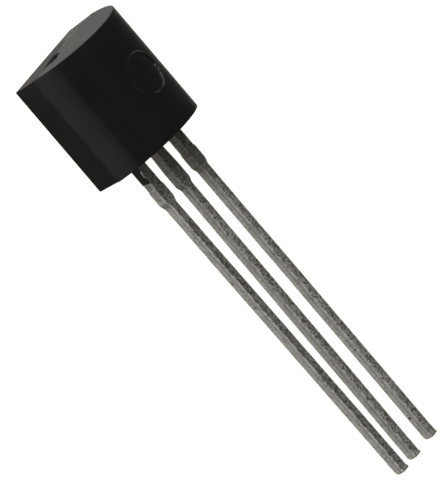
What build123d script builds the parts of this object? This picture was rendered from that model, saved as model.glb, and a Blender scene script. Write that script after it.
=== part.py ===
from build123d import *
import os
from math import radians, tan

# A three-lead transistor in a moulded D-shaped body. All sizes are in millimetres.
# The origin is the middle of the lead row on the underside of the body. +Z runs up through the
# body and the leads point down. The marking flat faces -Y and the round back faces +Y.

# Body
body_width = 4.60          # across the parting line, and the diameter of the round back
body_height = 4.66         # at the parting line
flat_width = 4.26          # across the marking flat
flat_to_leads = 1.36       # from the marking flat to the middle plane of the leads
parting_land = 0.05        # from the front faces of the leads to the parting plane
top_draft = 1.8            # degrees, both ways from the parting line
underside_draft = 1.0      # degrees, both ways from the parting line
parting_step = 0.012       # the front half is this much smaller all round at the parting plane
rim_radius = 0.05          # edges of the top face and the underside
flat_corner_radius = 0.06  # upright corners beside the marking flat

# Ejector-pin mark on the round back
pin_mark_diameter = 1.55
pin_mark_depth = 0.035
pin_mark_rim_width = 0.05
pin_mark_rim_height = 0.015
pin_mark_height = 2.30     # centre above the underside

# Gate scar on the top face, beside the parting line
gate_tip_x = 1.50          # where the scar runs out
gate_root_x = 0.35         # where it is deepest
gate_width = 0.42          # across its deep end, with the parting line in the middle
gate_skew = 0.24           # the end at the round back lies this much nearer the tip
gate_flank_x = 1.13        # the shallow flank that broke out towards the round back
gate_flank_width = 0.41
gate_depth = 0.13

# Leads outside the body
lead_pitch = 1.27
lead_width = 0.37
lead_thickness = 0.36
lead_length = 14.38        # from the underside of the body to the cut tips
root_width = 0.50          # between the body and the dam-bar stub
dam_width = 0.58           # across the stubs that the trimmed dam bar left
dam_top = 1.14             # below the underside of the body
dam_bottom = 1.68
dam_shoulder = 0.12        # height of the slope above a stub
dam_taper = 0.26           # height of the slope below a stub
base_lead_lean = 0.21      # sideways shift of that lead's tip, towards the middle lead
collector_lead_lean = 0.07 # sideways shift of the middle lead's tip, towards the base lead
stamped_edge_radius = 0.03 # edges of the bare stretch
rounding_top = 0.08        # the rounded edges end this far inside the body
tip_rollover = 0.15        # rounded edge at the cut tip, on the front side
tip_burr = 0.03            # burr at the cut tip, on the back side
tip_burr_height = 0.20

# Leads inside the body
post_neck_width = 0.36
post_width = 0.74
post_height = 0.90
post_top = 3.10            # above the underside of the body
post_outward = 0.10        # the post's middle lies this far outside its lead's
wing_width = 0.82          # lock wings that key the outer leads into the resin
wing_height = 0.30
wing_bottom = 0.75
flag_width = 1.40
flag_bottom = 1.45
flag_top = 3.90
flag_corner_radius = 0.15
flag_hole_diameter = 0.45  # resin flows through it and locks the flag
flag_hole_below_top = 0.42
flag_notch_diameter = 0.24
flag_notch_above_bottom = 0.40

# Die and bond wires
die_size = 0.50
die_thickness = 0.20
die_height = 2.70          # centre above the underside of the body
attach_thickness = 0.025
attach_margin = 0.04       # solder that shows all round the die
wire_diameter = 0.04
wire_loop = 0.22           # top of the loop above the die
wire_shoulder = 0.08       # where the loop turns over, this far across and down
ball_diameter = 0.10
ball_height = 0.03
pad_offset = 0.12          # each wire's pad from the middle of the die

# Resin flash on the outer face of the base lead
flash_thickness = 0.035
flash_length = 0.82        # below the underside of the body, at its long side
flash_slant = 0.10         # the other side is this much shorter

# Planes and places that follow from the sizes above
lead_front = -lead_thickness / 2
lead_back = lead_thickness / 2
parting_y = lead_front - parting_land
flat_y = -flat_to_leads
back_radius = body_width / 2
back_y = parting_y + back_radius


def half_side_view(far_y, step):
    """Side view of one mould half: its top and underside slope away from the parting plane."""
    run = abs(far_y - parting_y)
    top_drop = run * tan(radians(top_draft))
    under_rise = run * tan(radians(underside_draft))
    return Plane.YZ * Polygon(
        (parting_y, step),
        (far_y, step + under_rise),
        (far_y, body_height - step - top_drop),
        (parting_y, body_height - step),
        align=None,
    )


def moulded_half(plan, far_y, step):
    """One half of the body: its plan, cut to the side view, with rounded rims."""
    half = extrude(plan, body_height) & extrude(half_side_view(far_y, step), body_width, both=True)
    parting_edges = half.faces().filter_by(lambda f: abs(f.center().Y - parting_y) < parting_step).edges()
    uprights = half.edges().filter_by(Axis.Z)
    rims = [e for e in half.edges() if e not in parting_edges and e not in uprights]
    return fillet(rims, rim_radius)


def front_half():
    """The half with the marking flat: its sides narrow towards the flat."""
    side_x = back_radius - parting_step
    plan = Polygon(
        (-side_x, parting_y),
        (-flat_width / 2, flat_y),
        (flat_width / 2, flat_y),
        (side_x, parting_y),
        align=None,
    )
    corners = plan.vertices().group_by(Axis.Y)[0]
    return moulded_half(fillet(corners, flat_corner_radius), flat_y, parting_step)


def back_half():
    """The half-round back, which stands out a little at the parting line."""
    arc = ThreePointArc((back_radius, parting_y), (0, back_y), (-back_radius, parting_y))
    plan = make_face([arc, Line((-back_radius, parting_y), (back_radius, parting_y))])
    return moulded_half(plan, back_y, 0)


def back_shell(inner_radius, outer_radius):
    """A ring of the round back between two radii, as tall as the body."""
    ring = Circle(outer_radius) - Circle(inner_radius)
    return extrude(Pos(0, parting_y) * ring, body_height)


def pin_bar(diameter):
    """A round bar through the round back, at the ejector-pin mark."""
    bar = Cylinder(diameter / 2, back_radius, rotation=(90, 0, 0))
    return Pos(0, back_y, pin_mark_height) * bar


def pin_mark_recess():
    """The shallow disc that the ejector pin left, as deep all over."""
    return pin_bar(pin_mark_diameter) & back_shell(back_radius - pin_mark_depth, body_width)


def pin_mark_rim():
    """The thin ridge of resin round the pin mark."""
    ring = pin_bar(pin_mark_diameter + 2 * pin_mark_rim_width) - pin_bar(pin_mark_diameter)
    return ring & back_shell(back_radius - pin_mark_depth, back_radius + pin_mark_rim_height)


def gate_scar():
    """The wedge-shaped pit where the gate broke off: it is deepest at its blunt end."""
    plan = Polygon(
        (gate_tip_x, parting_y),
        (gate_flank_x, parting_y + gate_flank_width),
        (gate_root_x + gate_skew, parting_y + gate_width / 2),
        (gate_root_x, parting_y - gate_width / 2),
        align=None,
    )
    side = Polygon(
        (gate_tip_x, body_height),
        (gate_root_x, body_height + gate_depth),
        (gate_root_x, body_height - gate_depth),
        align=None,
    )
    column = extrude(plan, body_height * 2)
    wedge = extrude(Plane.XZ * side, body_width, both=True)
    return column & wedge


def lead_strip(x, lean):
    """Front view of one lead outside the body, from its cut tip to the underside."""
    stations = [
        (-lead_length, lead_width),
        (-dam_bottom - dam_taper, lead_width),
        (-dam_bottom, dam_width),
        (-dam_top, dam_width),
        (-dam_top + dam_shoulder, root_width),
        (0, root_width),
    ]

    def shift(z):
        below = max(0, -z - dam_bottom)
        return x + lean * below / (lead_length - dam_bottom)

    right = [(shift(z) + width / 2, z) for z, width in stations]
    left = [(shift(z) - width / 2, z) for z, width in reversed(stations)]
    return Polygon(*right, *left, align=None)


def stem(x, width, bottom, top):
    """An upright strip in front view."""
    return Pos(x, (bottom + top) / 2) * Rectangle(width, top - bottom)


def outer_lead_view(side, lean):
    """Front view of an outer lead: lock wings and a bonding post above the root."""
    x = side * lead_pitch
    post_x = x + side * post_outward
    wing_top = wing_bottom + wing_height
    post_bottom = post_top - post_height
    view = lead_strip(x, lean)
    view += stem(x, root_width, 0, wing_top)
    view += stem(x, wing_width, wing_bottom, wing_top)
    view += stem(x, post_neck_width, wing_bottom, post_top)
    view += stem(post_x, post_width, post_bottom, post_top)
    return view


def collector_view():
    """Front view of the middle lead: its stem and the flag that carries the die."""
    flag = stem(0, flag_width, flag_bottom, flag_top)
    flag = fillet(flag.vertices(), flag_corner_radius)
    flag -= Pos(0, flag_top - flag_hole_below_top) * Circle(flag_hole_diameter / 2)
    notch_z = flag_bottom + flag_notch_above_bottom
    for side in (-1, 1):
        flag -= Pos(side * flag_width / 2, notch_z) * Circle(flag_notch_diameter / 2)
    root = stem(0, root_width, 0, flag_bottom + flag_corner_radius)
    return lead_strip(0, collector_lead_lean) + root + flag


def tip_waste():
    """What the shear takes away: it rounds the front edge of every tip."""
    middle = tip_rollover / 2
    corner = Pos(lead_front + middle, middle - lead_length) * Rectangle(tip_rollover, tip_rollover)
    corner -= Pos(lead_front + tip_rollover, tip_rollover - lead_length) * Circle(tip_rollover)
    return extrude(Plane.YZ * corner, body_width, both=True)


def tip_flare(blank):
    """The burr that the shear draws out behind a tip, as wide as the tip."""
    side = Polygon(
        (lead_back - stamped_edge_radius, -lead_length),
        (lead_back + tip_burr, -lead_length),
        (lead_back, tip_burr_height - lead_length),
        (lead_back - stamped_edge_radius, tip_burr_height - lead_length),
        align=None,
    )
    return blank & extrude(Plane.YZ * side, body_width, both=True)


def stamped_lead(view):
    """A lead cut from flat strip, with its bare edges rounded and its tip sheared."""
    strip = extrude(Plane.XZ * view, lead_thickness / 2, both=True)
    sealed = strip & Pos(0, 0, rounding_top + body_height / 2) * Box(body_width, body_width, body_height)
    bare = strip - sealed
    wide_faces = bare.faces().filter_by(Axis.Y)
    above_tip = stamped_edge_radius - lead_length
    edges = [e for face in wide_faces for e in face.edges() if above_tip < e.center().Z < rounding_top]
    thick_blank = extrude(Plane.XZ * view, lead_thickness, both=True)
    return fillet(edges, stamped_edge_radius) - tip_waste() + tip_flare(thick_blank) + sealed


def chip():
    """The die, flat on the solder on the front of the flag."""
    front = lead_front - attach_thickness
    return Pos(0, front - die_thickness / 2, die_height) * Box(die_size, die_thickness, die_size)


def solder():
    """The thin layer that holds the die and stands out all round it."""
    side = die_size + 2 * attach_margin
    return Pos(0, lead_front - attach_thickness / 2, die_height) * Box(side, attach_thickness, side)


def bond(x, face_y, z):
    """The flattened end of a wire, on a face that looks to the front."""
    disc = Cylinder(ball_diameter / 2, ball_height, rotation=(90, 0, 0))
    return Pos(x, face_y - ball_height / 2, z) * disc


def bond_wire(side):
    """A looped wire from its bond on the die to its bond on a post."""
    die_front = lead_front - attach_thickness - die_thickness
    start = Vector(side * pad_offset, die_front, die_height)
    end = Vector(side * (lead_pitch + post_outward), lead_front, post_top - post_height / 2)
    neck = Vector(start.X, die_front - wire_loop + wire_shoulder, start.Z)
    loop_top = neck + Vector(side * wire_shoulder, -wire_shoulder, 0)
    path = Polyline(start, neck, loop_top, end)
    section = Plane(origin=start, z_dir=(0, -1, 0)) * Circle(wire_diameter / 2)
    wire = sweep(section, path=path, transition=Transition.RIGHT)
    post_face = Plane(origin=end, z_dir=(0, -1, 0)) * Rectangle(post_width, post_height)
    wire -= extrude(post_face, -lead_thickness)
    return wire + bond(start.X, die_front, start.Z) + bond(end.X, lead_front, end.Z)


def resin_flash():
    """A scrap of resin that crept down the outer face of the base lead from the body."""
    outer = lead_pitch + root_width / 2
    side = Polygon(
        (lead_front, rim_radius * 2),
        (lead_front, flash_slant - flash_length),
        (lead_back, -flash_length),
        (lead_back, rim_radius * 2),
        align=None,
    )
    return Pos(outer, 0, 0) * extrude(Plane.YZ * side, flash_thickness)


def main():
    leads = {
        "emitter_lead": stamped_lead(outer_lead_view(-1, 0)),
        "collector_lead": stamped_lead(collector_view()),
        "base_lead": stamped_lead(outer_lead_view(1, -base_lead_lean)),
    }
    inside = {
        "die": chip(),
        "die_attach": solder(),
        "emitter_bond_wire": bond_wire(-1),
        "base_bond_wire": bond_wire(1),
    }
    body = front_half() + back_half() + resin_flash() - pin_mark_recess() + pin_mark_rim() - gate_scar()
    for piece in [*leads.values(), *inside.values()]:
        body -= piece
    os.makedirs("parts", exist_ok=True)
    for name, shape in {"body": body, **leads, **inside}.items():
        export_step(shape, f"parts/{name}.step")


if __name__ == "__main__":
    main()
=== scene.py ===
from math import asin, atan2, ceil, cos, degrees, exp, hypot, pi, radians, sin, sqrt, tan

import bpy
from mathutils import Matrix, Vector, noise
from mathutils.geometry import delaunay_2d_cdt


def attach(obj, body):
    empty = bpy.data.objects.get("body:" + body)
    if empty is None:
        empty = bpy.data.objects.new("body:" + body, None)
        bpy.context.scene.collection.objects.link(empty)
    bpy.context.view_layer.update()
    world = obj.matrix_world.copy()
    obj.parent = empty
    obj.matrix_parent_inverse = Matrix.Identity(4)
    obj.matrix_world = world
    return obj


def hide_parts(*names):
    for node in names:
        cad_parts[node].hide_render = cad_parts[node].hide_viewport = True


# A three-lead transistor in a moulded D-shaped body. Lengths are in millimetres up to the last
# step of each mesh, which turns them into metres. The origin is the middle of the lead row on the
# underside, +Z runs up through the body, the marking flat faces -Y and the round back faces +Y.
MM = 0.001

# Body
BODY_WIDTH = 4.60
BODY_HEIGHT = 4.66
FLAT_WIDTH = 4.26
FLAT_TO_LEADS = 1.36
PARTING_LAND = 0.05             # from the leads' front faces to the parting plane
TOP_DRAFT = radians(1.8)
UNDERSIDE_DRAFT = radians(1.0)
PARTING_STEP = 0.012            # the front half stands back from the rear half by this
RIM_RADIUS = 0.025
FLAT_CORNER_RADIUS = 0.06

# Ejector-pin mark on the round back
PIN_MARK_DIAMETER = 1.55
PIN_MARK_DEPTH = 0.035
PIN_MARK_RIM_WIDTH = 0.05
PIN_MARK_RIM_HEIGHT = 0.015
PIN_MARK_WALL = 0.03            # run of the recess's sloping wall
PIN_MARK_HEIGHT = 2.30          # of its middle, above the underside
PIN_MARK_WOBBLE = 0.015         # share of its radius by which its edge wanders
PIN_MARK_TILT = 0.35            # how far its floor is tilted
PIN_MARK_GRAIN = 0.004          # depth of its floor's grain

# Gate scar on the top face
GATE_TIP_X = 1.50
GATE_ROOT_X = 0.35
GATE_WIDTH = 0.42
GATE_SKEW = 0.24
GATE_FLANK_X = 1.13
GATE_FLANK_WIDTH = 0.41
GATE_DEPTH = 0.13
GATE_FALL = 0.6                 # power of the floor's fall: below 1, it is steepest at the tip
GATE_BREAK = 0.02               # roughness of the broken resin
GATE_WALL = 0.035               # run of the pit's wall
GATE_SPREAD = 0.06              # how far the break has crumbled past the pit's true outline

# Leads
LEAD_PITCH = 1.27
LEAD_WIDTH = 0.37
LEAD_THICKNESS = 0.36
LEAD_LENGTH = 14.38
ROOT_WIDTH = 0.50
DAM_WIDTH = 0.58
DAM_TOP = 1.14
DAM_BOTTOM = 1.68
DAM_SHOULDER = 0.12
COLLECTOR_SHOULDER = 0.85
DAM_TAPER = 0.26
DAM_LIP = 0.04                  # the stub starts to narrow this far above its lower edge
BASE_LEAD_LEAN = 0.21
COLLECTOR_LEAD_LEAN = 0.07
EDGE_RADIUS = 0.016
TIP_ROLLOVER = 0.15
TIP_BURR = 0.03
TIP_BURR_HEIGHT = 0.20

# Leads inside the body
POST_NECK_WIDTH = 0.36
POST_WIDTH = 0.74
POST_HEIGHT = 0.90
POST_TOP = 3.10
POST_OUTWARD = 0.10
WING_WIDTH = 0.82
WING_HEIGHT = 0.30
WING_BOTTOM = 0.75
FLAG_WIDTH = 1.40
FLAG_BOTTOM = 1.45
FLAG_TOP = 3.90
FLAG_CORNER_RADIUS = 0.15
FLAG_HOLE_DIAMETER = 0.45
FLAG_HOLE_BELOW_TOP = 0.42
SEALED_BEVEL = 0.015

# Resin flash on the base lead
FLASH_THICKNESS = 0.035
FLASH_LENGTH = 0.82
FLASH_SLANT = 0.10              # how much shorter it is at the front of the lead
FLASH_SLANT_POWER = 0.6
FLASH_BITE = 0.02               # it starts this far inside the lead
FLASH_GAP = (-0.52, -0.29)      # heights between which it has come away from the lead's back edge
FLASH_GAP_DEPTH = 0.07
FLASH_GAP_SOFT = 0.05           # run of the gap's ends
FLASH_END_RAGGED = 0.012
FLASH_BACK_RAGGED = 0.008
FLASH_SWELL = 0.006
FLASH_RIM = 0.25                # share of its thickness that is left at its rims
FLASH_SIDE_TAPER = 0.08         # share of its width over which it thins
FLASH_END_TAPER = 0.04          # share of its length over which it thins

# Planes that follow
PARTING_Y = -LEAD_THICKNESS / 2 - PARTING_LAND
BACK_RADIUS = BODY_WIDTH / 2
BACK_Y = PARTING_Y + BACK_RADIUS
HALF_SIDE = BACK_RADIUS - PARTING_STEP     # half width of the front half at the parting plane

# Fineness of the meshes
BACK_STEP = 2.2                 # degrees round the back
PIN_MARK_STEP = 0.32            # degrees round the back, at the pin mark
PIN_MARK_STEP_UP = 0.0028       # share of the height, at the pin mark
PIN_MARK_REACH = 0.95           # half width of the finer mesh round the pin mark
PIN_MARK_MARGIN = 0.02          # more of it above and below
WALL_STEP = 0.022               # share of the height
SIDE_SPACING = 0.10
CORNER_STEPS = 5
RIM_STEPS = 5
LEDGE_RUN = 0.004
CAP_MARGIN = 0.06
CAP_SPACING = 0.14
CAP_FINE_SPACING = 0.016
GATE_BOX = (0.25, 1.60, -0.52, 0.28)   # the finer mesh at the gate scar: X from and to, Y from and to
FLASH_ROWS = 60
FLASH_COLUMNS = 26
LEAD_CORNER_STEPS = 4
LEAD_SIDE_STEPS = 16
LEAD_SEAT = 0.25                # the plated mesh starts this far inside the body
LEAD_STEP = 0.025
TIP_STEP = 0.015
TIP_REACH = 0.3                 # the finer steps start this far above the tip
TIP_RINGS = (0.8, 0.55, 0.3)    # sizes of the rings that close a tip
ARC_STEPS = 8
HOLE_SIDES = 24
BODY_SHARP_ANGLE = radians(32)
LEAD_SHARP_ANGLE = radians(50)

# Unevenness
SKIN_WAVE = 0.0015
RIM_CHIP = 0.012
LEAD_DENT = 0.0015
LEAD_WANDER = 0.01
WANDER_LENGTH = 3.0
WANDER_START = (1.0, 3.0)       # depths below the body between which the wander sets in
TIP_ROUGHNESS = 0.006

# Fine grooves along the leads, darker along them
FLAT_NORMAL = 0.99              # a normal with more than this along an axis is on a flat side
SHEAR_LINE_Y = 0.05             # on both narrow sides, where the punch stopped cutting
SHEAR_LINE_WIDTH = 0.018
SHEAR_LINE_START = (1.0, 2.0)   # depths below the body between which it sets in
BACK_LINE_START = (1.6, 2.4)    # the same for the line on the back face
LINE_DEPTH = 0.006
LINE_DARKENING = 0.85
ROOT_RAGGED = 0.35              # how unevenly the dark root clears up

# Painted highlights: bright spots along the leads' arrises
ARRIS_HIGHLIGHT_WIDTH = 0.028
HIGHLIGHTS_ABOVE = -1.80            # above this height there are more of them
HIGHLIGHTS_FADE = 0.1
SPOT_START = 0.02               # level of the noise at which a spot starts
SPOT_START_LOWERED = 0.17       # how much lower that is where there are more
SPOT_SOFT = 0.15

# The top face broke roughly in front of a slanting line, which runs level beyond an X
TORN_SLOPE = 0.41
TORN_LEVEL_X = 0.60
TORN_EDGE = (0.31, 0.39)        # how far in front of it the roughness starts and is full
TORN_LEFT_EDGE = (-1.20, -0.95)   # X between which it sets in
TORN_RAGGED = 0.12
TOP_ZONE = 0.3                  # the top face and the gate scar are within this of the top

# Wear, painted highlight and sheen, and roughness of the resin, from 0 to 1
TOP_NICK = (-1.11, -0.46)       # a small rubbed spot on the top face
TOP_NICK_RADIUS = 0.13
GATE_FLOOR_WEAR = 0.14          # how pale the freshly broken resin is
# the gate's pale blush, which also paints sheen on the front wall near the gate
GATE_BLUSH_AND_SHEEN = 0.9
GATE_SHEEN_REACH = (0.4, 1.9)   # distances from the gate between which its pale blush and painted sheen fade
FLASH_TORN = 0.7                # roughness of the flash
PIN_MARK_TORN = 0.45            # roughness of the pin mark's floor
PIN_MARK_GLINT = (-0.70, -0.10)  # a small painted highlight on the ridge, from the mark's middle
PIN_MARK_GLINT_RADIUS = 0.08

# Arcs round the pin mark, seen from behind: middle and half width in degrees, strength
PIN_MARK_RIDGES = [
    (65, 60, 0.8),
    (-50, 60, 1.0),
    (180, 120, 0.35),
]
# Arcs of painted highlight along the ridge
PIN_MARK_HIGHLIGHTS = [
    (62, 38, 0.62),
    (-46, 40, 0.60),
    (-108, 12, 0.38),
    (112, 28, 0.10),
    (-164, 26, 0.08),
]
PIN_MARK_BROAD = (-25, 34, 1.0)     # here the painted highlight along the ridge is broader

# What differs from lead to lead. The dark root clears up between the clear heights. The drawn line
# on the back face has a place and a width.
LEADS = {
    "emitter": {
        "x": -LEAD_PITCH,
        "lean": 0.0,
        "shoulder": DAM_SHOULDER,
        "seed": 11.0,
        "clear_heights": (-1.3, -3.4),
        "darkness": 1.0,
        "back_line": (-0.070, 0.018),
    },
    "collector": {
        "x": 0.0,
        "lean": COLLECTOR_LEAD_LEAN,
        "shoulder": COLLECTOR_SHOULDER,
        "seed": 23.0,
        "clear_heights": (-1.1, -2.9),
        "darkness": 0.78,
        "back_line": (-0.070, 0.018),
    },
    "base": {
        "x": LEAD_PITCH,
        "lean": -BASE_LEAD_LEAN,
        "shoulder": DAM_SHOULDER,
        "seed": 37.0,
        "clear_heights": (-0.7, -2.1),
        "darkness": 0.72,
        "back_line": (0.105, 0.034),
    },
}
# Roughness of each lead's tin: lowest, highest, and how much more on the rolled faces
TIN_ROUGHNESS = {
    "emitter": (0.46, 0.60, 0.14),
    "collector": (0.44, 0.58, 0.16),
    "base": (0.32, 0.46, 0.06),
}

# Colours, as linear red, green, blue and alpha
RESIN_DARK = (0.0105, 0.0103, 0.0093, 1)
RESIN_LIGHT = (0.0145, 0.0142, 0.0128, 1)
# pale blush round the gate, also painted sheen
RESIN_BLUSH_AND_SHEEN = (0.026, 0.025, 0.023, 1)
RESIN_SPECK = (0.03, 0.029, 0.026, 1)
# rubbed resin on the top face, and painted highlights round the pin mark
RESIN_WORN_AND_HIGHLIGHT = (0.20, 0.20, 0.202, 1)
TIN_DARK = (0.62, 0.61, 0.585, 1)
TIN_LIGHT = (0.82, 0.81, 0.785, 1)
TIN_PALE = (0.93, 0.92, 0.90, 1)
TIN_SPECK = (0.25, 0.235, 0.21, 1)
TIN_STAIN = (0.27, 0.255, 0.232, 1)
TIN_PIT = (0.07, 0.062, 0.055, 1)
# painted highlights along the leads' arrises
TIN_HIGHLIGHT = (0.97, 0.965, 0.95, 1)
WHITE = (1, 1, 1, 1)
LIGHT_COLOUR = (1.0, 0.972, 0.925, 1)

# Depths of the fine relief in the materials
RESIN_MOTTLE_DEPTH = 0.0012
RESIN_GRAIN_DEPTH = 0.0005
RESIN_CRUMB_DEPTH = 0.02
TIN_MOTTLE_DEPTH = 0.018
TIN_SPECK_DEPTH = 0.028
TIN_LINE_DEPTH = 0.003
SEALED_GRAIN_DEPTH = 0.001
FLOOR_GRAIN_DEPTH = 0.002

# Camera, from the fit of the body's outline and the leads to the photograph
CAMERA_AZIMUTH = radians(131.93)
CAMERA_ELEVATION = radians(8.83)
CAMERA_ROLL = radians(40.47)
CAMERA_DISTANCE = 0.70          # metres
PIXELS_PER_MM = 28.706
PHOTO_WIDTH_PX = 441
PHOTO_HEIGHT_PX = 480
ORIGIN_PX = (151.28, 145.10)
SENSOR_WIDTH = 36

# Studio
FLOOR_GAP = 2.0                 # between the lead tips and the floor
FLOOR_HALF_SIDE = 2000.0
FLOOR_LIFT = 0.15               # brings the paper up to white, with its shadow kept
# Light level round the horizon: degrees from +X towards +Y, level
HORIZON_LIGHT = [
    (-180, 0.10),
    (-165, 0.13),
    (-138, 0.32),
    (-100, 0.12),
    (-66, 0.12),
    (-57, 0.18),
    (-50, 0.30),
    (-43, 0.42),
    (-35, 0.57),
    (-28, 0.62),
    (-20, 0.60),
    (-8, 0.54),
    (3, 0.44),
    (10, 0.44),
    (11, 0.13),
    (20, 0.15),
    (50, 0.18),
    (62, 0.23),
    (76, 0.18),
    (95, 0.15),
    (138, 0.13),
    (156, 0.11),
    (180, 0.10),
]
LOW_LIGHT_SHARE = 0.4           # what is left of that light straight below
LOW_LIGHT_SINE = (-0.9, -0.3)   # sines of the elevation between which it comes back
OVERHEAD_LEVEL = 1.25
OVERHEAD_SINE = (0.25, 0.75)    # sines of the elevation between which the light above sets in
BACKDROP_EDGE = (2, 10)         # degrees from straight behind where the white that gloss sees fades

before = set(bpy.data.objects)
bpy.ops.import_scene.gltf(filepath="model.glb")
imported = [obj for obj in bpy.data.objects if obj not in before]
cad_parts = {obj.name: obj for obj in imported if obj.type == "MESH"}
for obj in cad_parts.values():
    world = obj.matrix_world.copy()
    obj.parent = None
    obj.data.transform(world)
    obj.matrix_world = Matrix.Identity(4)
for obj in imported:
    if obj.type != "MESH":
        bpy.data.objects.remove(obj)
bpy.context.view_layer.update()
scene = bpy.context.scene


def smooth_step(low, high, value):
    """0 at low and before it, 1 at high and past it, and a smooth rise between. Low may be the greater."""
    t = min(1.0, max(0.0, (value - low) / (high - low)))
    return t * t * (3 - 2 * t)


def grain(point, size, seed=0.0):
    """Smooth noise from -1 to 1 whose features are about this size."""
    return noise.noise(Vector(point) / size + Vector((seed, seed * 1.7, -seed)))


def spread(marks, steps):
    """Values from the first mark to the last, with about this step in each stretch."""
    values = [marks[0]]
    for low, high, step in zip(marks, marks[1:], steps):
        count = max(1, round(abs(high - low) / step))
        values += [low + (high - low) * k / count for k in range(1, count + 1)]
    return values


def arcs_at(angle, arcs):
    """Strength of the arcs at an angle in degrees, with soft ends."""
    total = 0.0
    for middle, half_width, strength in arcs:
        away = abs((angle - middle + 180) % 360 - 180)
        total += strength * (1 - smooth_step(half_width * 0.5, half_width, away))
    return total


def make_piece(name, points, faces, marks, material, nodes, sharp_angle):
    """A mesh from points in millimetres with its marks, which rides on the part's one body."""
    mesh = bpy.data.meshes.new(name)
    mesh.from_pydata([(x * MM, y * MM, z * MM) for x, y, z in points], [], faces)
    mesh.validate()
    for mark, values in marks.items():
        mesh.attributes.new(mark, "FLOAT", "POINT").data.foreach_set("value", values)
    mesh.shade_smooth()
    mesh.set_sharp_from_angle(angle=sharp_angle)
    piece = bpy.data.objects.new(name, mesh)
    scene.collection.objects.link(piece)
    mesh.materials.append(material)
    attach(piece, "root")
    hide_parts(*nodes)
    return piece


# Materials


class Nodes:
    """A material's or a world's node tree, with short ways to add nodes and links."""

    def __init__(self, owner):
        owner.use_nodes = True
        self.tree = owner.node_tree
        self.tree.nodes.clear()

    def add(self, kind, inputs=None, **settings):
        """A new node. Each input is a value, or another node's output that is linked to it."""
        made = self.tree.nodes.new(kind)
        for name, value in settings.items():
            setattr(made, name, value)
        for key, value in (inputs or {}).items():
            if isinstance(value, bpy.types.NodeSocket):
                self.tree.links.new(value, made.inputs[key])
            else:
                made.inputs[key].default_value = value
        return made

    def math(self, operation, first, second=0.0):
        return self.add("ShaderNodeMath", {0: first, 1: second}, operation=operation).outputs[0]

    def noise(self, place, scale, detail=3.0, roughness=0.5):
        """Noise from 0 to 1 with about this many features in a millimetre."""
        inputs = {"Vector": place, "Scale": scale, "Detail": detail, "Roughness": roughness}
        return self.add("ShaderNodeTexNoise", inputs).outputs["Fac"]

    def span(self, value, low, high, to_low, to_high):
        """A smooth step from to_low at low to to_high at high."""
        inputs = {0: value, 1: low, 2: high, 3: to_low, 4: to_high}
        return self.add("ShaderNodeMapRange", inputs, interpolation_type="SMOOTHSTEP").outputs[0]

    def blend(self, factor, first, second):
        inputs = {0: factor, 6: first, 7: second}
        return self.add("ShaderNodeMix", inputs, data_type="RGBA").outputs[2]

    def mark(self, name):
        """A value that the mesh holds at each of its points."""
        return self.add("ShaderNodeAttribute", attribute_name=name).outputs["Fac"]

    def bump(self, height, depth, strength=1.0, normal=None):
        """A normal bent by a relief of this depth in millimetres."""
        inputs = {"Height": height, "Distance": depth * MM, "Strength": strength}
        if normal:
            inputs["Normal"] = normal
        return self.add("ShaderNodeBump", inputs).outputs["Normal"]


def millimetres(nodes):
    """The surface point in millimetres, in the part's own frame."""
    place = nodes.add("ShaderNodeTexCoord").outputs["Object"]
    return nodes.add("ShaderNodeVectorMath", {0: place, 3: 1 / MM}, operation="SCALE").outputs[0]


def finish_material(nodes, shader):
    """Makes this shader the surface of its material."""
    nodes.add("ShaderNodeOutputMaterial", {"Surface": shader.outputs[0]})


def torn_share(nodes, place, torn):
    """How rough the resin is, from 0 to 1: as marked below the top, and on the top face's front part."""
    axes = nodes.add("ShaderNodeSeparateXYZ", {0: place}).outputs
    line = nodes.math("MULTIPLY", nodes.math("MINIMUM", axes[0], TORN_LEVEL_X), TORN_SLOPE)
    uneven = nodes.math("SUBTRACT", nodes.noise(place, 7.0, 4.0), 0.5)
    ragged = nodes.math("MULTIPLY", uneven, TORN_RAGGED * 2)
    beyond = nodes.math("ADD", nodes.math("SUBTRACT", line, axes[1]), ragged)
    front = nodes.span(beyond, *TORN_EDGE, 0, 1)
    front = nodes.math("MULTIPLY", front, nodes.span(axes[0], *TORN_LEFT_EDGE, 0, 1))
    below = nodes.math("LESS_THAN", axes[2], BODY_HEIGHT - TOP_ZONE)
    return nodes.math("MULTIPLY", torn, nodes.math("MAXIMUM", front, below))


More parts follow.
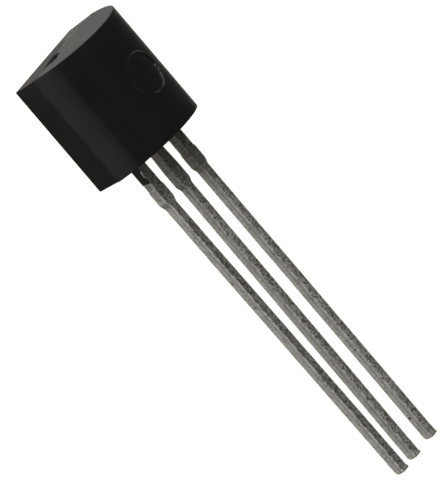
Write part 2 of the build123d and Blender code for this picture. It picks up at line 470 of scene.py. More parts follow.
def moulding_material():
    """Black filled epoxy: satin, fine grain, gate blush with painted sheen, crumbled and rubbed places,
    painted highlights.
    """
    material = bpy.data.materials.new("moulding")
    nodes = Nodes(material)
    place = millimetres(nodes)
    wear_and_highlight = nodes.mark("wear_and_highlight")
    torn = torn_share(nodes, place, nodes.mark("torn"))
    flow = nodes.noise(place, 0.9, 4.0)
    mottle = nodes.noise(place, 6.0, 5.0, 0.6)
    fine = nodes.noise(place, 30.0, 3.0, 0.6)
    crumbs = nodes.noise(place, 14.0, 3.0, 0.7)
    specks = nodes.span(nodes.noise(place, 22.0, 1.0), 0.72, 0.80, 0, 1)
    gate = (GATE_FLANK_X, PARTING_Y, BODY_HEIGHT)
    away = nodes.add("ShaderNodeVectorMath", {0: place, 1: gate}, operation="DISTANCE").outputs["Value"]
    # painted sheen near the gate, together with the gate's blush
    blush_and_sheen = nodes.math("MULTIPLY", nodes.span(away, *GATE_SHEEN_REACH, 1, 0), GATE_BLUSH_AND_SHEEN)
    colour = nodes.blend(nodes.span(flow, 0.3, 0.7, 0, 1), RESIN_DARK, RESIN_LIGHT)
    colour = nodes.blend(blush_and_sheen, colour, RESIN_BLUSH_AND_SHEEN)
    colour = nodes.blend(specks, colour, RESIN_SPECK)
    # rubbed places on the top face, and painted highlights on the pin mark's ridge
    colour = nodes.blend(wear_and_highlight, colour, RESIN_WORN_AND_HIGHLIGHT)
    satin = nodes.span(mottle, 0.3, 0.7, 0.15, 0.20)
    roughness = nodes.math("ADD", satin, nodes.span(flow, 0.3, 0.7, -0.02, 0.02))
    roughness = nodes.math("ADD", roughness, nodes.math("MULTIPLY", wear_and_highlight, 0.25))
    crumbled = nodes.math("MULTIPLY", torn, nodes.span(crumbs, 0.40, 0.60, 0.06, 0.36))
    roughness = nodes.math("ADD", roughness, crumbled)
    normal = nodes.bump(mottle, RESIN_MOTTLE_DEPTH, 0.6)
    normal = nodes.bump(fine, RESIN_GRAIN_DEPTH, 0.7, normal)
    normal = nodes.bump(nodes.math("MULTIPLY", crumbs, torn), RESIN_CRUMB_DEPTH, 0.8, normal)
    inputs = {
        "Base Color": colour,
        "Roughness": roughness,
        "Normal": normal,
        "IOR": 1.5,
        "Specular IOR Level": 0.3,
    }
    finish_material(nodes, nodes.add("ShaderNodeBsdfPrincipled", inputs))
    return material


def tin_material(name, roughness_low, roughness_high, rolled_roughness):
    """Dull tin plated on stamped strip: drawn lines, pits, dark roots, specks on the rolled faces, painted
    highlights.
    """
    material = bpy.data.materials.new(name)
    nodes = Nodes(material)
    place = millimetres(nodes)
    wear_and_highlight = nodes.mark("wear_and_highlight")
    stain = nodes.mark("stain")
    rolled = nodes.mark("rolled")
    along = nodes.add("ShaderNodeMapping", {"Vector": place, "Scale": (1.0, 1.0, 0.12)}).outputs[0]
    clouds = nodes.noise(place, 3.0, 4.0)
    mottle = nodes.noise(place, 11.0, 4.0, 0.65)
    speckle = nodes.noise(place, 14.0, 3.0, 0.6)
    lines = nodes.noise(along, 26.0, 3.0, 0.6)
    pits = nodes.span(nodes.noise(place, 9.0, 2.0), 0.27, 0.36, 1, 0)
    specks = nodes.span(speckle, 0.43, 0.54, 0.95, 0.0)
    specks = nodes.math("MULTIPLY", specks, nodes.span(rolled, 0, 1, 0.25, 1.0))
    dirt = nodes.math("MULTIPLY", stain, nodes.span(mottle, 0.30, 0.62, 1.0, 0.72))
    colour = nodes.blend(nodes.span(clouds, 0.35, 0.65, 0, 1), TIN_DARK, TIN_LIGHT)
    colour = nodes.blend(nodes.span(mottle, 0.35, 0.65, 0, 0.55), colour, TIN_PALE)
    colour = nodes.blend(specks, colour, TIN_SPECK)
    colour = nodes.blend(dirt, colour, TIN_STAIN)
    colour = nodes.blend(pits, colour, TIN_PIT)
    # painted highlights along the arrises
    colour = nodes.blend(wear_and_highlight, colour, TIN_HIGHLIGHT)
    roughness = nodes.span(mottle, 0.3, 0.7, roughness_high, roughness_low)
    roughness = nodes.math("ADD", roughness, nodes.math("MULTIPLY", rolled, rolled_roughness))
    roughness = nodes.math("ADD", roughness, nodes.math("MULTIPLY", stain, 0.15))
    roughness = nodes.math("ADD", roughness, nodes.math("MULTIPLY", wear_and_highlight, 0.15))
    normal = nodes.bump(mottle, TIN_MOTTLE_DEPTH, 0.9)
    normal = nodes.bump(speckle, TIN_SPECK_DEPTH, 1.0, normal)
    normal = nodes.bump(lines, TIN_LINE_DEPTH, 0.5, normal)
    # the painted highlights are less metallic and so look pale under any light
    metallic = nodes.math("SUBTRACT", 1.0, nodes.math("MULTIPLY", wear_and_highlight, 0.8))
    inputs = {"Base Color": colour, "Metallic": metallic, "Roughness": roughness, "Normal": normal}
    finish_material(nodes, nodes.add("ShaderNodeBsdfPrincipled", inputs))
    return material


def grained_metal(name, dark, light, roughness_low, roughness_high, scale):
    """A plain metal for the sealed pieces, with its own grain."""
    material = bpy.data.materials.new(name)
    nodes = Nodes(material)
    place = millimetres(nodes)
    cloud = nodes.noise(place, scale, 4.0)
    colour = nodes.blend(nodes.span(cloud, 0.3, 0.7, 0, 1), dark, light)
    roughness = nodes.span(cloud, 0.3, 0.7, roughness_low, roughness_high)
    normal = nodes.bump(nodes.noise(place, scale * 4, 3.0), SEALED_GRAIN_DEPTH, 0.5)
    inputs = {"Base Color": colour, "Metallic": 1.0, "Roughness": roughness, "Normal": normal}
    finish_material(nodes, nodes.add("ShaderNodeBsdfPrincipled", inputs))
    return material


moulding = moulding_material()
tins = {name + "_lead": tin_material(name + "_tin", *values) for name, values in TIN_ROUGHNESS.items()}
silicon = grained_metal("silicon", (0.16, 0.17, 0.20, 1), (0.22, 0.23, 0.26, 1), 0.12, 0.22, 8.0)
solder = grained_metal("solder", (0.50, 0.50, 0.50, 1), (0.64, 0.64, 0.63, 1), 0.30, 0.45, 20.0)
gold = grained_metal("gold_wire", (0.80, 0.58, 0.22, 1), (0.92, 0.70, 0.30, 1), 0.18, 0.28, 30.0)

for node, material in {
    "body": moulding,
    **tins,
    "die": silicon,
    "die_attach": solder,
    "emitter_bond_wire": gold,
    "base_bond_wire": gold,
}.items():
    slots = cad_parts[node].data.materials
    slots.clear()
    slots.append(material)


# Body


def front_corner(side):
    """The rounded upright corner beside the flat: points and outward normals from the flat to the side."""
    lean = atan2(HALF_SIDE - FLAT_WIDTH / 2, FLAT_TO_LEADS + PARTING_Y)
    turn = pi / 2 - lean
    centre_y = -FLAT_TO_LEADS + FLAT_CORNER_RADIUS
    centre_x = FLAT_WIDTH / 2 - FLAT_CORNER_RADIUS * tan(turn / 2)
    corner = []
    for k in range(CORNER_STEPS + 1):
        angle = -pi / 2 + turn * k / CORNER_STEPS
        normal = (cos(angle), sin(angle))
        x = centre_x + FLAT_CORNER_RADIUS * normal[0]
        y = centre_y + FLAT_CORNER_RADIUS * normal[1]
        corner.append((side * x, y, side * normal[0], normal[1]))
    return corner


def between(first, last, spacing):
    """Plan points from first to last, without either end, with first's normal."""
    x0, y0, nx, ny = first
    x1, y1 = last[:2]
    count = ceil(hypot(x1 - x0, y1 - y0) / spacing)
    shares = [k / count for k in range(1, count)]
    return [(x0 + (x1 - x0) * t, y0 + (y1 - y0) * t, nx, ny) for t in shares]


def body_plan():
    """Plan points and normals round the body, from +X by the round back, -X and the flat."""
    dense = degrees(asin(PIN_MARK_REACH / BACK_RADIUS))
    angles = spread([0, 90 - dense, 90 + dense, 180], [BACK_STEP, PIN_MARK_STEP, BACK_STEP])
    back = []
    for angle in angles:
        normal = (cos(radians(angle)), sin(radians(angle)))
        back.append((BACK_RADIUS * normal[0], PARTING_Y + BACK_RADIUS * normal[1], *normal))
    right = front_corner(1)
    left = front_corner(-1)
    ledge_y = PARTING_Y - LEDGE_RUN
    ledge_right = (HALF_SIDE, ledge_y, *right[-1][2:])
    ledge_left = (-HALF_SIDE, ledge_y, *left[-1][2:])
    plan = back + [ledge_left] + between(ledge_left, left[-1], SIDE_SPACING) + left[::-1]
    plan += between(left[0], right[0], SIDE_SPACING) + right
    return plan + between(right[-1], ledge_right, SIDE_SPACING) + [ledge_right]


def front_step(y):
    """How far the body's ends stand back at this Y: only those of its front half do."""
    return PARTING_STEP if y < PARTING_Y - LEDGE_RUN / 2 else 0


def body_bottom(y):
    """Height of the drafted underside."""
    return front_step(y) + abs(y - PARTING_Y) * tan(UNDERSIDE_DRAFT)


def body_top(y):
    """Height of the drafted top face."""
    return BODY_HEIGHT - front_step(y) - abs(y - PARTING_Y) * tan(TOP_DRAFT)


def near_pin_mark(x, y, z):
    """Whether a point of the walls lies within the reach of the pin mark."""
    return y >= 0 and hypot(x, z - PIN_MARK_HEIGHT) <= PIN_MARK_REACH


def pin_mark_place(x, z):
    """Angle in degrees round the pin mark, seen from behind, and distance outside its uneven edge."""
    up = z - PIN_MARK_HEIGHT
    angle = atan2(up, -x)
    wobble = PIN_MARK_WOBBLE * grain((cos(angle) * 3, sin(angle) * 3, 0), 1.0, 4.0)
    return degrees(angle), hypot(x, up) - PIN_MARK_DIAMETER / 2 * (1 + wobble)


def pin_mark_relief(x, y, z):
    """Height above the round back at the pin mark: a tilted recess and an uneven ridge round it."""
    if not near_pin_mark(x, y, z):
        return 0.0
    up = z - PIN_MARK_HEIGHT
    angle, outside = pin_mark_place(x, z)
    tilt = 0.5 + PIN_MARK_TILT * (up - x) / (PIN_MARK_DIAMETER / 2)
    grained = PIN_MARK_GRAIN * grain((x, up, 0), 0.10, 2.0)
    floor_depth = PIN_MARK_DEPTH * (0.25 + 0.75 * tilt) + grained
    inside = 1 - smooth_step(-PIN_MARK_WALL, 0, outside)
    uneven = 0.8 + 0.5 * grain((x, up, 0), 0.10, 8.0)
    ridge = PIN_MARK_RIM_HEIGHT * min(1.0, arcs_at(angle, PIN_MARK_RIDGES) * uneven)
    offset = (outside - PIN_MARK_RIM_WIDTH / 2) / (PIN_MARK_RIM_WIDTH * 0.45)
    return ridge * exp(-offset * offset) - floor_depth * inside


def pin_mark_highlight(x, y, z):
    """Painted highlight on the walls, from 0 to 1: stretches of the ridge round the pin mark, and a bright
    spot.
    """
    if not near_pin_mark(x, y, z):
        return 0.0
    angle, outside = pin_mark_place(x, z)
    broad = arcs_at(angle, [PIN_MARK_BROAD])
    offset = (outside - PIN_MARK_RIM_WIDTH * (0.5 - broad)) / (PIN_MARK_RIM_WIDTH * (0.7 + 0.7 * broad))
    uneven = 0.8 + 1.5 * grain((x, z, 0), 0.09, 14.0)
    highlight = min(1.0, max(0.0, arcs_at(angle, PIN_MARK_HIGHLIGHTS) * uneven)) * exp(-offset * offset)
    # a small round painted highlight on the ridge
    chip = hypot(x - PIN_MARK_GLINT[0], z - PIN_MARK_HEIGHT - PIN_MARK_GLINT[1])
    return max(highlight, 1 - smooth_step(PIN_MARK_GLINT_RADIUS / 2, PIN_MARK_GLINT_RADIUS, chip))


def pin_mark_rough(x, y, z):
    """Roughness of the pin mark's floor, from 0 to 1."""
    if not near_pin_mark(x, y, z):
        return 0.0
    _, outside = pin_mark_place(x, z)
    patches = smooth_step(-0.3, 0.3, grain((x, z, 0), 0.12, 20.0))
    return PIN_MARK_TORN * (1 - smooth_step(-PIN_MARK_WALL * 2, 0, outside)) * (0.3 + 0.7 * patches)


def top_wear(x, y):
    """How far the top face is rubbed or bared, from 0 to 1: one spot, and the gate scar's floor."""
    spot = 1 - smooth_step(0, TOP_NICK_RADIUS, hypot(x - TOP_NICK[0], y - TOP_NICK[1]))
    return max(spot, GATE_FLOOR_WEAR * smooth_step(0, GATE_DEPTH / 2, gate_scar_depth(x, y)))


def gate_scar_depth(x, y):
    """Depth below the top face where the gate broke off: a wedge with a rough floor."""
    corners = [
        (GATE_TIP_X, PARTING_Y),
        (GATE_FLANK_X, PARTING_Y + GATE_FLANK_WIDTH),
        (GATE_ROOT_X + GATE_SKEW, PARTING_Y + GATE_WIDTH / 2),
        (GATE_ROOT_X, PARTING_Y - GATE_WIDTH / 2),
    ]
    inward = []
    for (x0, y0), (x1, y1) in zip(corners, corners[1:] + corners[:1]):
        length = hypot(x1 - x0, y1 - y0)
        inward.append(((x1 - x0) * (y - y0) - (y1 - y0) * (x - x0)) / length)
    edge = min(inward) + GATE_SPREAD + GATE_BREAK * grain((x, y, 0), 0.10, 5.0)
    if edge <= 0:
        return 0.0
    share = min(1.0, max(0.0, (GATE_TIP_X + GATE_SPREAD - x) / (GATE_TIP_X - GATE_ROOT_X)))
    depth = GATE_DEPTH * share**GATE_FALL * smooth_step(0.0, GATE_WALL, edge)
    rough = GATE_BREAK * (0.5 * grain((x, y, 0), 0.05, 1.0) + 0.7 * grain((x, y, 0), 0.16, 3.0))
    return max(0.0, depth + rough * smooth_step(0.0, GATE_WALL, edge))


def cap_points(fine_box):
    """Plan points inside the body's outline: a coarse grid, a fine one in the box, the parting ledge."""
    slope = (HALF_SIDE - FLAT_WIDTH / 2) / (FLAT_TO_LEADS + PARTING_Y)

    def inside(x, y):
        if y > PARTING_Y:
            return hypot(x, y - PARTING_Y) < BACK_RADIUS - CAP_MARGIN
        reach = HALF_SIDE + (y - PARTING_Y) * slope
        return abs(x) < reach - CAP_MARGIN and y > -FLAT_TO_LEADS + CAP_MARGIN

    def in_fine_box(x, y):
        return fine_box and fine_box[0] <= x <= fine_box[1] and fine_box[2] <= y <= fine_box[3]

    def clear_of_ledge(y):
        return abs(y - PARTING_Y) > LEDGE_RUN * 2

    across = spread([-BACK_RADIUS, BACK_RADIUS], [CAP_SPACING])
    deep = [y for y in spread([-FLAT_TO_LEADS, BACK_Y], [CAP_SPACING]) if clear_of_ledge(y)]
    points = [(x, y) for x in across for y in deep if inside(x, y) and not in_fine_box(x, y)]
    if fine_box:
        across = spread(fine_box[:2], [CAP_FINE_SPACING])
        deep = spread(fine_box[2:], [CAP_FINE_SPACING])
        points += [(x, y) for x in across for y in deep if clear_of_ledge(y)]
    reach = BACK_RADIUS - RIM_RADIUS - CAP_MARGIN
    for x in spread([-reach, reach], [CAP_FINE_SPACING if fine_box else CAP_SPACING]):
        points += [(x, PARTING_Y), (x, PARTING_Y - LEDGE_RUN)]
    return points


def add_cap(points, faces, ring, height, fine_box, upward):
    """Closes the body over a ring of its points. height gives z at a plan point."""
    plan = [Vector(points[k][:2]) for k in ring]
    edges = [(k, (k + 1) % len(ring)) for k in range(len(ring))]
    plan += [Vector(p) for p in cap_points(fine_box)]
    placed, _, triangles, sources, _, _ = delaunay_2d_cdt(plan, edges, [], 1, 1e-7)
    index = {}
    for k, (place, origin) in enumerate(zip(placed, sources)):
        on_ring = [n for n in origin if n < len(ring)]
        if on_ring:
            index[k] = ring[on_ring[0]]
        else:
            index[k] = len(points)
            points.append((place.x, place.y, height(place.x, place.y)))
    for triangle in triangles:
        corners = [index[k] for k in triangle]
        faces.append(corners if upward else corners[::-1])


def wall_point(column, level, rim):
    """A point of the body's skin. Level goes from 0 at the bottom to 1. Rim is a rim's turn in radians."""
    x, y, nx, ny = column
    inset = RIM_RADIUS * (1 - cos(rim))
    rise = RIM_RADIUS * (1 - sin(abs(rim)))
    x -= nx * inset
    y -= ny * inset
    low = body_bottom(y) + RIM_RADIUS
    high = body_top(y) - RIM_RADIUS
    if rim < 0:
        z = low - RIM_RADIUS + rise
    elif rim > 0:
        z = high + RIM_RADIUS - rise
    else:
        z = low + (high - low) * level
    swell = -SKIN_WAVE * (0.5 + 0.5 * grain((x, y, z), 0.9, 6.0))
    if y > 0 and rim == 0:
        swell += pin_mark_relief(x, y, z)
    chip = -RIM_CHIP * max(0.0, grain((x, y, z), 0.16, 9.0)) * sin(2 * abs(rim))
    return (x + nx * (swell + chip), y + ny * (swell + chip), z)


def flash_point(i, j, layer):
    """A point of the flash in this row and column: on the lead in layer 0, and outside in layer 1."""
    t = j / FLASH_COLUMNS
    top = RIM_RADIUS * 2
    ragged = FLASH_END_RAGGED * grain((t, 0, 0), 0.12, 3.0)
    lowest = -FLASH_LENGTH + FLASH_SLANT * (1 - t) ** FLASH_SLANT_POWER + ragged
    z = top + (lowest - top) * i / FLASH_ROWS
    gap_low, gap_high = FLASH_GAP
    gap = smooth_step(gap_low - FLASH_GAP_SOFT, gap_low, z)
    gap *= 1 - smooth_step(gap_high, gap_high + FLASH_GAP_SOFT, z)
    ragged = FLASH_BACK_RAGGED * grain((0, 0, z), 0.06, 5.0)
    width = LEAD_THICKNESS - FLASH_GAP_DEPTH * gap + ragged - FLASH_BACK_RAGGED
    sides = min(smooth_step(0, FLASH_SIDE_TAPER, t), smooth_step(0, FLASH_SIDE_TAPER, 1 - t))
    rim = min(sides, smooth_step(0, FLASH_END_TAPER, 1 - i / FLASH_ROWS))
    swell = FLASH_SWELL * grain((-LEAD_THICKNESS / 2 + LEAD_THICKNESS * t, z, 0), 0.08, 2.0)
    proud = (FLASH_THICKNESS - FLASH_SWELL + swell) * (FLASH_RIM + (1 - FLASH_RIM) * rim)
    inner_x = LEAD_PITCH + ROOT_WIDTH / 2 - FLASH_BITE
    return (inner_x + (FLASH_BITE + proud) * layer, -LEAD_THICKNESS / 2 + width * t, z)


def add_flash(points, faces):
    """The scrap of resin down the outer face of the base lead: a thin closed skin with a ragged edge."""
    start = len(points)
    for layer in (0, 1):
        for i in range(FLASH_ROWS + 1):
            points += [flash_point(i, j, layer) for j in range(FLASH_COLUMNS + 1)]
    width = FLASH_COLUMNS + 1
    layer_size = (FLASH_ROWS + 1) * width

    def quad(*corners):
        faces.append(tuple(start + k for k in corners))

    for i in range(FLASH_ROWS):
        for j in range(FLASH_COLUMNS):
            a = i * width + j
            b = a + layer_size
            quad(a, a + 1, a + width + 1, a + width)
            quad(b, b + width, b + width + 1, b + 1)
    loop = list(range(FLASH_COLUMNS)) + [i * width + FLASH_COLUMNS for i in range(FLASH_ROWS)]
    loop += [FLASH_ROWS * width + j for j in range(FLASH_COLUMNS, 0, -1)]
    loop += [i * width for i in range(FLASH_ROWS, 0, -1)]
    for a, b in zip(loop, loop[1:] + loop[:1]):
        quad(a, a + layer_size, b + layer_size, b)


def build_body():
    """The moulded body with its flash."""
    plan = body_plan()
    reach = (PIN_MARK_REACH + PIN_MARK_MARGIN) / BODY_HEIGHT
    middle = PIN_MARK_HEIGHT / BODY_HEIGHT
    levels = spread([0, middle - reach, middle + reach, 1], [WALL_STEP, PIN_MARK_STEP_UP, WALL_STEP])
    turns = [pi / 2 * k / RIM_STEPS for k in range(1, RIM_STEPS + 1)]
    rows = [(0, -turn) for turn in reversed(turns)]
    rows += [(level, 0) for level in levels]
    rows += [(1, turn) for turn in turns]
    points = [wall_point(column, level, rim) for level, rim in rows for column in plan]
    size = len(plan)
    faces = []
    for i in range(len(rows) - 1):
        for j in range(size):
            k = (j + 1) % size
            faces.append((i * size + j, i * size + k, (i + 1) * size + k, (i + 1) * size + j))
    bottom_ring = list(range(size))
    top_start = (len(rows) - 1) * size
    top_ring = list(range(top_start, top_start + size))
    add_cap(points, faces, top_ring, lambda x, y: body_top(y) - gate_scar_depth(x, y), GATE_BOX, True)
    top_end = len(points)
    add_cap(points, faces, bottom_ring, lambda x, y: body_bottom(y), None, False)
    flash_start = len(points)
    add_flash(points, faces)
    torn = [pin_mark_rough(*p) for p in points[:top_start]] + [1.0] * (top_end - top_start)
    torn += [0.0] * (flash_start - top_end) + [FLASH_TORN] * (len(points) - flash_start)
    # painted highlights round the pin mark on the walls, real wear on the top face
    wear_and_highlight = [pin_mark_highlight(*p) for p in points[:top_start]]
    wear_and_highlight += [top_wear(x, y) for x, y, _ in points[top_start:top_end]] + [0.0] * (len(points) - top_end)
    marks = {"wear_and_highlight": wear_and_highlight, "torn": torn}
    make_piece("moulded_body", points, faces, marks, moulding, ["body"], BODY_SHARP_ANGLE)


# Leads


def section_pattern():
    """Round a lead's section: share of the half width and half thickness, and the corner's normal."""
    corners = [(1, 1), (-1, 1), (-1, -1), (1, -1)]
    pattern = []
    for quarter, corner in enumerate(corners):
        following = corners[(quarter + 1) % 4]
        start = quarter * pi / 2
        for k in range(LEAD_CORNER_STEPS + 1):
            angle = start + pi / 2 * k / LEAD_CORNER_STEPS
            pattern.append((*corner, cos(angle), sin(angle)))
        for k in range(1, LEAD_SIDE_STEPS):
            t = k / LEAD_SIDE_STEPS
            share = [corner[n] + (following[n] - corner[n]) * t for n in (0, 1)]
            pattern.append((*share, cos(start + pi / 2), sin(start + pi / 2)))
    return pattern


def lead_half_width(z, shoulder):
    """Half width of a lead at height z: root, stub of the trimmed dam bar and plain stretch."""
    widening = 1 - smooth_step(-DAM_TOP, shoulder - DAM_TOP, z)
    narrowing = 1 - smooth_step(-DAM_BOTTOM - DAM_TAPER, -DAM_BOTTOM + DAM_LIP, z)
    width = ROOT_WIDTH + (DAM_WIDTH - ROOT_WIDTH) * widening
    return (width + (LEAD_WIDTH - width) * narrowing) / 2


def drawn_line(across, y, z, nx, ny, back_line):
    """Share from 0 to 1 of the fine grooves along a lead: where the punch stopped, and on the back face."""
    if abs(nx) > FLAT_NORMAL:
        return exp(-(((y - SHEAR_LINE_Y) / SHEAR_LINE_WIDTH) ** 2)) * smooth_step(*SHEAR_LINE_START, -z)
    if ny > FLAT_NORMAL:
        place, width = back_line
        return exp(-(((across - place) / width) ** 2)) * smooth_step(*BACK_LINE_START, -z)
    return 0.0


def arris_highlight(x, y, z, from_arris, seed):
    """Painted highlights: bright spots along the arrises, from 0 to 1, with more of them towards the body.
    """
    on_edge = exp(-((from_arris / ARRIS_HIGHLIGHT_WIDTH) ** 2))
    more = smooth_step(-HIGHLIGHTS_ABOVE + HIGHLIGHTS_FADE, -HIGHLIGHTS_ABOVE, -z)
    start = SPOT_START - SPOT_START_LOWERED * more
    return on_edge * smooth_step(start, start + SPOT_SOFT, grain((x * 2, y * 2, z), 0.14, seed + 9))


def lead_relief(x, y, z, nx, ny, seed):
    """Small dents of a plated and handled strip, deeper along its edges; never proud of the true form."""
    place = (x, y, z)
    dent = 0.5 + 0.5 * grain(place, 0.35, seed)
    dent += 0.6 * (0.5 + 0.5 * grain(place, 0.10, seed + 3))
    on_edge = abs(nx * ny) * 2
    dent += on_edge * 2.0 * (0.5 + 0.5 * grain(place, 0.12, seed + 7))
    return -LEAD_DENT * dent


def lead_skin(x, lean, shoulder, seed, clear_heights, darkness, back_line):
    """Points, faces and marks of a lead outside the body, from inside its root to the sheared tip."""
    heights = spread([LEAD_SEAT, -LEAD_LENGTH + TIP_REACH, -LEAD_LENGTH], [LEAD_STEP, TIP_STEP])
    pattern = section_pattern()
    points = []
    marks = {"wear_and_highlight": [], "stain": [], "rolled": []}
    for z in heights:
        below = max(0.0, -z - DAM_BOTTOM)
        middle = x + lean * below / (LEAD_LENGTH - DAM_BOTTOM)
        middle += LEAD_WANDER * grain((0, 0, z), WANDER_LENGTH, seed) * smooth_step(*WANDER_START, -z)
        above_tip = z + LEAD_LENGTH
        over = TIP_ROLLOVER - min(above_tip, TIP_ROLLOVER)
        front = -LEAD_THICKNESS / 2 + TIP_ROLLOVER - sqrt(TIP_ROLLOVER**2 - over**2)
        back = LEAD_THICKNESS / 2 + TIP_BURR * (1 - smooth_step(0, TIP_BURR_HEIGHT, above_tip))
        half_width = lead_half_width(z, shoulder)
        half_depth = (back - front) / 2
        for ex, ey, nx, ny in pattern:
            px = middle + ex * (half_width - EDGE_RADIUS) + EDGE_RADIUS * nx
            py = (front + back) / 2 + ey * (half_depth - EDGE_RADIUS) + EDGE_RADIUS * ny
            line = drawn_line(px - middle, py, z, nx, ny, back_line)
            dent = lead_relief(px, py, z, nx, ny, seed) - LINE_DEPTH * line
            points.append((px + nx * dent, py + ny * dent, z))
            clear = smooth_step(*clear_heights, z + ROOT_RAGGED * grain((px, py, z), 0.5, seed + 5))
            from_arris = (1 - abs(ex)) * half_width + (1 - abs(ey)) * half_depth
            # painted highlights along the arrises, weaker where the root is dark
            marks["wear_and_highlight"].append(arris_highlight(px, py, z, from_arris, seed) * (0.5 + 0.5 * clear))
            # dark root, and darker along the grooves
            marks["stain"].append(min(1.0, darkness * (1 - clear) + LINE_DARKENING * line))
            marks["rolled"].append(abs(ny))
    size = len(pattern)
    faces = []
    for i in range(len(heights) - 1):
        for j in range(size):
            k = (j + 1) % size
            faces.append(((i + 1) * size + j, (i + 1) * size + k, i * size + k, i * size + j))
    faces.append(tuple(range(size)))
    close_tip(points, faces, size, seed)
    return points, faces, marks


def close_tip(points, faces, size, seed):
    """Closes a lead's last ring with smaller rings, slightly rough as the shear left them."""
    ring = list(range(len(points) - size, len(points)))
    centre = [sum(points[k][n] for k in ring) / size for n in (0, 1)]
    outline = [points[k] for k in ring]
    for share in TIP_RINGS:
        inner = []
        for x, y, _ in outline:
            px = centre[0] + (x - centre[0]) * share
            py = centre[1] + (y - centre[1]) * share
            inner.append(len(points))
            points.append((px, py, -LEAD_LENGTH + TIP_ROUGHNESS * (1 + grain((px, py, 0), 0.06, seed))))
        faces += [(inner[j], inner[(j + 1) % size], ring[(j + 1) % size], ring[j]) for j in range(size)]
        ring = inner
    faces.append(tuple(reversed(ring)))


def arc(centre_x, centre_z, radius, first, last, count=ARC_STEPS):
    """Points of an arc between two angles in degrees."""
    angles = [radians(first + (last - first) * k / count) for k in range(count + 1)]
    return [(centre_x + radius * cos(a), centre_z + radius * sin(a)) for a in angles]


def post_outline(x, side):
    """Front view of an outer lead inside the body: lock wings, neck and bonding post."""
    outward = side * POST_OUTWARD
    post_bottom = POST_TOP - POST_HEIGHT
    wing_top = WING_BOTTOM + WING_HEIGHT
    stations = [
        (LEAD_SEAT / 2, 0, ROOT_WIDTH),
        (WING_BOTTOM, 0, ROOT_WIDTH),
        (WING_BOTTOM, 0, WING_WIDTH),
        (wing_top, 0, WING_WIDTH),
        (wing_top, 0, POST_NECK_WIDTH),
        (post_bottom, 0, POST_NECK_WIDTH),
        (post_bottom, outward, POST_WIDTH),
        (POST_TOP, outward, POST_WIDTH),
    ]
    right = [(x + shift + width / 2, z) for z, shift, width in stations]
    left = [(x + shift - width / 2, z) for z, shift, width in reversed(stations)]
    return [right + left]


def flag_outline():
    """Front view of the middle lead inside the body: its stem, the flag and the flag's hole."""
    r = FLAG_CORNER_RADIUS
    inner = FLAG_WIDTH / 2 - r
    half_stem = ROOT_WIDTH / 2
    edge = [(-half_stem, LEAD_SEAT / 2), (half_stem, LEAD_SEAT / 2), (half_stem, FLAG_BOTTOM)]
    edge += arc(inner, FLAG_BOTTOM + r, r, -90, 0) + arc(inner, FLAG_TOP - r, r, 0, 90)
    edge += arc(-inner, FLAG_TOP - r, r, 90, 180) + arc(-inner, FLAG_BOTTOM + r, r, 180, 270)
    edge.append((-half_stem, FLAG_BOTTOM))
    last = 360 - 360 / HOLE_SIDES
    hole = arc(0, FLAG_TOP - FLAG_HOLE_BELOW_TOP, FLAG_HOLE_DIAMETER / 2, 0, last, HOLE_SIDES - 1)
    return [edge, hole]


def sealed_plate(outlines):
    """Points and faces of a flat plate with softened edges, from its outline and holes in front view."""
    curve = bpy.data.curves.new("plate", "CURVE")
    curve.dimensions = "2D"
    curve.fill_mode = "BOTH"
    curve.extrude = LEAD_THICKNESS / 2 - SEALED_BEVEL
    curve.bevel_depth = SEALED_BEVEL
    curve.offset = -SEALED_BEVEL
    for outline in outlines:
        spline = curve.splines.new("POLY")
        spline.points.add(len(outline) - 1)
        for point, (x, z) in zip(spline.points, outline):
            point.co = (x, z, 0, 1)
        spline.use_cyclic_u = True
    plate = bpy.data.objects.new("plate", curve)
    mesh = bpy.data.meshes.new_from_object(plate)
    points = [(v.co.x, v.co.z, v.co.y) for v in mesh.vertices]
    faces = [tuple(reversed(f.vertices)) for f in mesh.polygons]
    bpy.data.objects.remove(plate)
    bpy.data.meshes.remove(mesh)
    return points, faces


def build_lead(name, sealed_outlines):
    """A plated lead: its skin outside the body and its plain plate inside."""
    points, faces, marks = lead_skin(**LEADS[name])
    more_points, more_faces = sealed_plate(sealed_outlines)
    faces += [tuple(k + len(points) for k in face) for face in more_faces]
    points += more_points
    for values in marks.values():
        values += [0.0] * (len(points) - len(values))
    node = name + "_lead"
    make_piece(node + "_plated", points, faces, marks, tins[node], [node], LEAD_SHARP_ANGLE)


build_body()
build_lead("emitter", post_outline(-LEAD_PITCH, -1))
build_lead("collector", flag_outline())
build_lead("base", post_outline(LEAD_PITCH, 1))


# Studio


def camera_axes():
    """Right, up and back of the photograph's camera."""
    a, e, roll = CAMERA_AZIMUTH, CAMERA_ELEVATION, CAMERA_ROLL
    back = Vector((sin(a) * cos(e), -cos(a) * cos(e), sin(e)))
    level = Vector((cos(a), sin(a), 0))
    upright = Vector((-sin(e) * sin(a), sin(e) * cos(a), cos(e)))
    return level * cos(roll) - upright * sin(roll), level * sin(roll) + upright * cos(roll), back


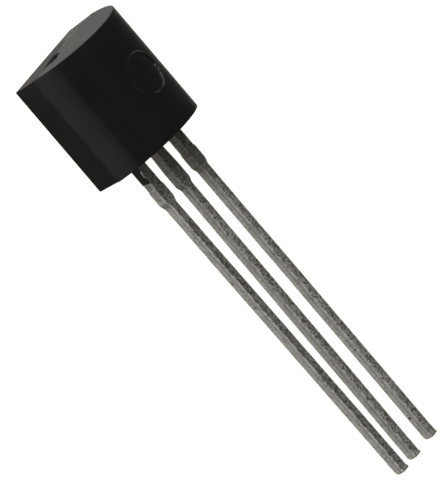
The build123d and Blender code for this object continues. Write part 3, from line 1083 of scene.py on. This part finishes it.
def studio_world():
    """Soft light from above, a tall soft light at one side and a dim room. The camera sees white."""
    world = bpy.data.worlds.new("studio")
    scene.world = world
    nodes = Nodes(world)
    way = nodes.add("ShaderNodeTexCoord").outputs["Generated"]
    axes = nodes.add("ShaderNodeSeparateXYZ", {0: way})
    turn = nodes.math("ARCTAN2", axes.outputs[1], axes.outputs[0])
    share = nodes.math("ADD", nodes.math("DIVIDE", turn, 2 * pi), 0.5)
    ramp = nodes.add("ShaderNodeValToRGB", {0: share})
    ramp.color_ramp.interpolation = "LINEAR"
    stops = ramp.color_ramp.elements
    for k, (angle, light) in enumerate(HORIZON_LIGHT):
        place = (angle + 180) / 360
        stop = stops[k] if k < 2 else stops.new(place)
        stop.position = place
        stop.color = (light, light, light, 1)
    low = nodes.span(axes.outputs[2], *LOW_LIGHT_SINE, LOW_LIGHT_SHARE, 1)
    beside = nodes.math("MULTIPLY", ramp.outputs[0], low)
    above = nodes.math("MULTIPLY", nodes.span(axes.outputs[2], *OVERHEAD_SINE, 0, 1), OVERHEAD_LEVEL)
    level = nodes.math("MAXIMUM", beside, above)
    behind = tuple(-camera_axes()[2])
    facing = nodes.add("ShaderNodeVectorMath", {0: way, 1: behind}, operation="DOT_PRODUCT")
    near, far = (cos(radians(angle)) for angle in BACKDROP_EDGE)
    path = nodes.add("ShaderNodeLightPath").outputs
    backdrop = nodes.span(facing.outputs["Value"], far, near, 0, 1)
    reflected = nodes.math("MULTIPLY", path["Is Glossy Ray"], backdrop)
    seen = nodes.math("MAXIMUM", path["Is Camera Ray"], path["Is Transmission Ray"])
    seen = nodes.math("MAXIMUM", seen, reflected)
    lit = nodes.add("ShaderNodeBackground", {"Color": LIGHT_COLOUR, "Strength": level})
    white = nodes.add("ShaderNodeBackground", {"Color": WHITE, "Strength": 1.0})
    mix = nodes.add("ShaderNodeMixShader", {0: seen, 1: lit.outputs[0], 2: white.outputs[0]})
    nodes.add("ShaderNodeOutputWorld", {"Surface": mix.outputs[0]})


def add_floor():
    """A white floor that keeps the shadow; only the camera's rays stop at it."""
    material = bpy.data.materials.new("floor_white")
    nodes = Nodes(material)
    weave = nodes.noise(millimetres(nodes), 0.4, 3.0)
    seen = nodes.add("ShaderNodeLightPath").outputs["Is Camera Ray"]
    normal = nodes.bump(weave, FLOOR_GRAIN_DEPTH)
    paper = nodes.add("ShaderNodeBsdfDiffuse", {"Color": WHITE, "Normal": normal})
    lift = nodes.add("ShaderNodeEmission", {"Color": WHITE, "Strength": FLOOR_LIFT})
    pale = nodes.add("ShaderNodeAddShader", {0: paper.outputs[0], 1: lift.outputs[0]})
    clear = nodes.add("ShaderNodeBsdfTransparent")
    mix = nodes.add("ShaderNodeMixShader", {0: seen, 1: clear.outputs[0], 2: pale.outputs[0]})
    finish_material(nodes, mix)
    half = FLOOR_HALF_SIDE * MM
    z = (-LEAD_LENGTH - FLOOR_GAP) * MM
    corners = [(-half, -half, z), (half, -half, z), (half, half, z), (-half, half, z)]
    mesh = bpy.data.meshes.new("floor")
    mesh.from_pydata(corners, [], [(0, 1, 2, 3)])
    mesh.materials.append(material)
    floor = bpy.data.objects.new("floor", mesh)
    scene.collection.objects.link(floor)


def add_camera():
    """The photograph's camera: a long lens, rolled, a little above the part's level."""
    right, up, back = camera_axes()
    across = ((PHOTO_WIDTH_PX - 1) / 2 - ORIGIN_PX[0]) / PIXELS_PER_MM * MM
    down = ((PHOTO_HEIGHT_PX - 1) / 2 - ORIGIN_PX[1]) / PIXELS_PER_MM * MM
    target = right * across - up * down
    data = bpy.data.cameras.new("camera")
    data.sensor_width = SENSOR_WIDTH
    data.lens = SENSOR_WIDTH * CAMERA_DISTANCE / (PHOTO_HEIGHT_PX / PIXELS_PER_MM * MM)
    data.clip_start = 0.01
    data.clip_end = 10
    camera = bpy.data.objects.new("camera", data)
    scene.collection.objects.link(camera)
    turned = Matrix((right, up, back)).transposed().to_4x4()
    camera.matrix_world = Matrix.Translation(target + back * CAMERA_DISTANCE) @ turned
    scene.camera = camera


studio_world()
add_floor()
add_camera()
scene.view_settings.view_transform = "Standard"
